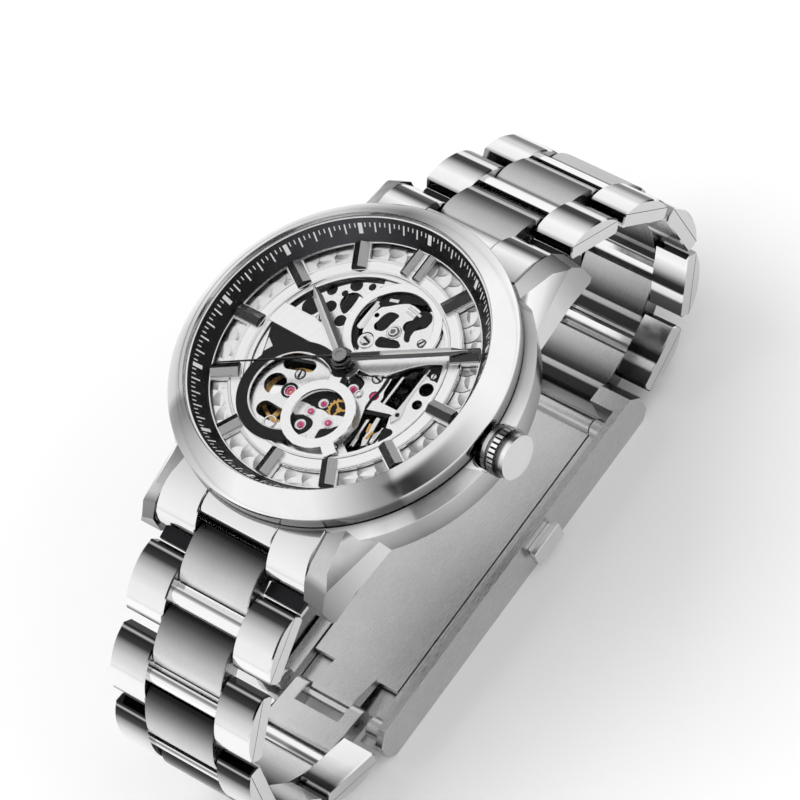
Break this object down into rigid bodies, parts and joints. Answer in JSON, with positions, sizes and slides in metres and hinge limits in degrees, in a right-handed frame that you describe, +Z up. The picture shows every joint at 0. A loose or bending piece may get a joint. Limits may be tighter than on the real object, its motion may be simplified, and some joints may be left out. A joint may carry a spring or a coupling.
{
  "type": "skeleton wristwatch",
  "caption": "Automatic wristwatch with an open-worked dial and movement, round steel case, lobed crown and hinged link bracelet closed by a folding clasp.",
  "frame": {"origin": "on the flat outer face of the closed clasp, straight under the dial's centre", "axes": "+Z up along the hands' axis, out of the dial; +Y towards 12 o'clock; +X towards the crown at 3 o'clock"},
  "size_m": [0.0445, 0.0848, 0.0449],
  "materials": {
    "case_steel": "brushed and polished",
    "polished_steel": "polished",
    "bezel_steel": "polished",
    "sapphire": "clear, polished",
    "chapter_black": "matt black with white ticks",
    "dial_silver": "brushed, circular",
    "dial_black": "satin black",
    "marker_steel": "polished facets",
    "hand_steel": "polished with a pale lume line",
    "plate_rhodium": "brushed, straight grain",
    "bridge_rhodium": "striped",
    "ruby": "polished stone",
    "gilt_brass": "gilt, satin",
    "blued_spring": "fine blade",
    "screw_steel": "polished",
    "link_brushed": "brushed along the bracelet",
    "link_polished": "polished"
  },
  "bodies": {
    "case": {"case_middle": "case_steel", "bezel": "bezel_steel", "crystal": "sapphire", "chapter_ring": "chapter_black", "case_back": "case_steel", "back_crystal": "sapphire", "dial_plate": "dial_silver", "dial_black_ring": "dial_black", "dial_small_ring": "dial_silver", "hour_markers": "marker_steel", "main_plate": "plate_rhodium", "jewels": "ruby", "train_bridge": "bridge_rhodium", "balance_cock": "bridge_rhodium", "bridge_screws": "screw_steel", "end_links": "polished_steel", "spring_bars": "screw_steel"},
    "upper_link_01": {"upper_link_01": "link_brushed"},
    "upper_link_02": {"upper_link_02": "link_polished"},
    "upper_link_03": {"upper_link_03": "link_brushed"},
    "upper_link_04": {"upper_link_04": "link_polished"},
    "upper_link_05": {"upper_link_05": "link_brushed"},
    "upper_link_06": {"upper_link_06": "link_polished"},
    "upper_link_07": {"upper_link_07": "link_brushed"},
    "upper_link_08": {"upper_link_08": "link_polished"},
    "upper_link_09": {"upper_link_09": "link_brushed"},
    "upper_link_10": {"upper_link_10": "link_polished"},
    "upper_link_11": {"upper_link_11": "link_brushed"},
    "lower_link_01": {"lower_link_01": "link_brushed"},
    "lower_link_02": {"lower_link_02": "link_polished"},
    "lower_link_03": {"lower_link_03": "link_brushed"},
    "lower_link_04": {"lower_link_04": "link_polished"},
    "lower_link_05": {"lower_link_05": "link_brushed"},
    "lower_link_06": {"lower_link_06": "link_polished"},
    "lower_link_07": {"lower_link_07": "link_brushed"},
    "lower_link_08": {"lower_link_08": "link_polished"},
    "lower_link_09": {"lower_link_09": "link_brushed"},
    "lower_link_10": {"lower_link_10": "link_polished"},
    "lower_link_11": {"lower_link_11": "link_brushed"},
    "clasp_cover": {"clasp_cover": "link_brushed"},
    "clasp_outer_blade": {"clasp_outer_blade": "link_brushed"},
    "clasp_inner_blade": {"clasp_inner_blade": "link_brushed"},
    "push_button_right": {"push_button_right": "polished_steel"},
    "push_button_left": {"push_button_left": "polished_steel"},
    "stem_slide": {"setting_lever": "screw_steel"},
    "crown": {"crown": "polished_steel", "winding_stem": "screw_steel"},
    "minute": {"centre_wheel": "gilt_brass", "minute_hand": "hand_steel"},
    "barrel": {"barrel": "gilt_brass"},
    "third": {"third_wheel": "gilt_brass"},
    "fourth": {"fourth_wheel": "gilt_brass", "second_hand": "hand_steel"},
    "escape": {"escape_wheel": "screw_steel"},
    "hour": {"hour_wheel": "gilt_brass", "hour_hand": "hand_steel"},
    "pallets": {"pallet_fork": "screw_steel"},
    "balance": {"balance_wheel": "gilt_brass", "hairspring": "blued_spring"},
    "rotor": {"rotor": "bridge_rhodium"}
  },
  "joints": [
    {"name": "upper_pin_01", "type": "hinge", "parent": "case", "child": "upper_link_01", "pos_m": [0, 0.023, 0.03684], "axis": [1, 0, 0], "range_deg": [0, 11]},
    {"name": "upper_pin_02", "type": "hinge", "parent": "upper_link_01", "child": "upper_link_02", "pos_m": [0, 0.02726, 0.03457], "axis": [1, 0, 0], "range_deg": [0, 6]},
    {"name": "upper_pin_03", "type": "hinge", "parent": "upper_link_02", "child": "upper_link_03", "pos_m": [0, 0.0314, 0.03208], "axis": [1, 0, 0], "range_deg": [0, 10]},
    {"name": "upper_pin_04", "type": "hinge", "parent": "upper_link_03", "child": "upper_link_04", "pos_m": [0, 0.03521, 0.02911], "axis": [1, 0, 0], "range_deg": [0, 13]},
    {"name": "upper_pin_05", "type": "hinge", "parent": "upper_link_04", "child": "upper_link_05", "pos_m": [0, 0.03844, 0.02552], "axis": [1, 0, 0], "range_deg": [0, 20]},
    {"name": "upper_pin_06", "type": "hinge", "parent": "upper_link_05", "child": "upper_link_06", "pos_m": [0, 0.04048, 0.02114], "axis": [1, 0, 0], "range_deg": [0, 22]},
    {"name": "upper_pin_07", "type": "hinge", "parent": "upper_link_06", "child": "upper_link_07", "pos_m": [0, 0.04099, 0.01634], "axis": [1, 0, 0], "range_deg": [0, 24]},
    {"name": "upper_pin_08", "type": "hinge", "parent": "upper_link_07", "child": "upper_link_08", "pos_m": [0, 0.03974, 0.01167], "axis": [1, 0, 0], "range_deg": [0, 23]},
    {"name": "upper_pin_09", "type": "hinge", "parent": "upper_link_08", "child": "upper_link_09", "pos_m": [0, 0.03697, 0.00772], "axis": [1, 0, 0], "range_deg": [0, 22]},
    {"name": "upper_pin_10", "type": "hinge", "parent": "upper_link_09", "child": "upper_link_10", "pos_m": [0, 0.03306, 0.00488], "axis": [1, 0, 0], "range_deg": [0, 20]},
    {"name": "upper_pin_11", "type": "hinge", "parent": "upper_link_10", "child": "upper_link_11", "pos_m": [0, 0.02849, 0.0033], "axis": [1, 0, 0], "range_deg": [0, 16]},
    {"name": "lower_pin_01", "type": "hinge", "parent": "case", "child": "lower_link_01", "pos_m": [0, -0.023, 0.03684], "axis": [-1, 0, 0], "range_deg": [0, 11]},
    {"name": "lower_pin_02", "type": "hinge", "parent": "lower_link_01", "child": "lower_link_02", "pos_m": [0, -0.02726, 0.03457], "axis": [-1, 0, 0], "range_deg": [0, 6]},
    {"name": "lower_pin_03", "type": "hinge", "parent": "lower_link_02", "child": "lower_link_03", "pos_m": [0, -0.0314, 0.03208], "axis": [-1, 0, 0], "range_deg": [0, 10]},
    {"name": "lower_pin_04", "type": "hinge", "parent": "lower_link_03", "child": "lower_link_04", "pos_m": [0, -0.03521, 0.02911], "axis": [-1, 0, 0], "range_deg": [0, 13]},
    {"name": "lower_pin_05", "type": "hinge", "parent": "lower_link_04", "child": "lower_link_05", "pos_m": [0, -0.03844, 0.02552], "axis": [-1, 0, 0], "range_deg": [0, 20]},
    {"name": "lower_pin_06", "type": "hinge", "parent": "lower_link_05", "child": "lower_link_06", "pos_m": [0, -0.04048, 0.02114], "axis": [-1, 0, 0], "range_deg": [0, 22]},
    {"name": "lower_pin_07", "type": "hinge", "parent": "lower_link_06", "child": "lower_link_07", "pos_m": [0, -0.04099, 0.01634], "axis": [-1, 0, 0], "range_deg": [0, 24]},
    {"name": "lower_pin_08", "type": "hinge", "parent": "lower_link_07", "child": "lower_link_08", "pos_m": [0, -0.03974, 0.01167], "axis": [-1, 0, 0], "range_deg": [0, 23]},
    {"name": "lower_pin_09", "type": "hinge", "parent": "lower_link_08", "child": "lower_link_09", "pos_m": [0, -0.03697, 0.00772], "axis": [-1, 0, 0], "range_deg": [0, 22]},
    {"name": "lower_pin_10", "type": "hinge", "parent": "lower_link_09", "child": "lower_link_10", "pos_m": [0, -0.03306, 0.00488], "axis": [-1, 0, 0], "range_deg": [0, 20]},
    {"name": "lower_pin_11", "type": "hinge", "parent": "lower_link_10", "child": "lower_link_11", "pos_m": [0, -0.02849, 0.0033], "axis": [-1, 0, 0], "range_deg": [0, 16]},
    {"name": "cover_pin", "type": "hinge", "parent": "upper_link_11", "child": "clasp_cover", "pos_m": [0, 0.02369, 0.0028], "axis": [1, 0, 0], "range_deg": [0, 27]},
    {"name": "outer_blade_pin", "type": "hinge", "parent": "clasp_cover", "child": "clasp_outer_blade", "pos_m": [0, -0.02369, 0.0028], "axis": [1, 0, 0], "range_deg": [0, 40]},
    {"name": "inner_blade_pin", "type": "hinge", "parent": "clasp_outer_blade", "child": "clasp_inner_blade", "pos_m": [0, 0.02009, 0.0025], "axis": [-1, 0, 0], "range_deg": [0, 40]},
    {"name": "button_slide_right", "type": "slide", "parent": "clasp_cover", "child": "push_button_right", "axis": [-1, 0, 0], "range_m": [0, 0.0006], "stiffness_N_per_m": 400},
    {"name": "button_slide_left", "type": "slide", "parent": "clasp_cover", "child": "push_button_left", "axis": [1, 0, 0], "range_m": [0, 0.0006], "stiffness_N_per_m": 400},
    {"name": "stem_pull", "type": "slide", "parent": "case", "child": "stem_slide", "axis": [1, 0, 0], "range_m": [0, 0.001]},
    {"name": "crown_turn", "type": "hinge", "parent": "stem_slide", "child": "crown", "pos_m": [0, 0, 0.03964], "axis": [1, 0, 0], "continuous": true},
    {"name": "fourth_turn", "type": "hinge", "parent": "case", "child": "fourth", "pos_m": [0, 0, 0.03864], "axis": [0, 0, -1], "continuous": true},
    {"name": "minute_turn", "type": "hinge", "parent": "case", "child": "minute", "pos_m": [0, 0, 0.03864], "axis": [0, 0, -1], "continuous": true},
    {"name": "barrel_turn", "type": "hinge", "parent": "case", "child": "barrel", "pos_m": [0.00225, 0.00595, 0.03864], "axis": [0, 0, -1], "continuous": true},
    {"name": "third_turn", "type": "hinge", "parent": "case", "child": "third", "pos_m": [0.0052, -0.0016, 0.03864], "axis": [0, 0, -1], "continuous": true},
    {"name": "escape_turn", "type": "hinge", "parent": "case", "child": "escape", "pos_m": [0.0003, -0.0054, 0.03864], "axis": [0, 0, -1], "continuous": true},
    {"name": "hour_turn", "type": "hinge", "parent": "case", "child": "hour", "pos_m": [0, 0, 0.03864], "axis": [0, 0, -1], "continuous": true},
    {"name": "pallet_swing", "type": "hinge", "parent": "case", "child": "pallets", "pos_m": [-0.0016, -0.0067, 0.03864], "axis": [0, 0, 1], "range_deg": [-6, 6]},
    {"name": "balance_swing", "type": "hinge", "parent": "case", "child": "balance", "pos_m": [-0.004, -0.0054, 0.03864], "axis": [0, 0, 1], "range_deg": [-270, 270]},
    {"name": "rotor_turn", "type": "hinge", "parent": "case", "child": "rotor", "pos_m": [0, 0, 0.03564], "axis": [0, 0, 1], "continuous": true}
  ],
  "couplings": [
    {"joint": "escape_turn", "follows": "fourth_turn", "ratio": -10},
    {"joint": "third_turn", "follows": "fourth_turn", "ratio": -0.13333},
    {"joint": "minute_turn", "follows": "fourth_turn", "ratio": 0.016667},
    {"joint": "barrel_turn", "follows": "fourth_turn", "ratio": -0.0027778},
    {"joint": "hour_turn", "follows": "fourth_turn", "ratio": 0.0013889}
  ]
}
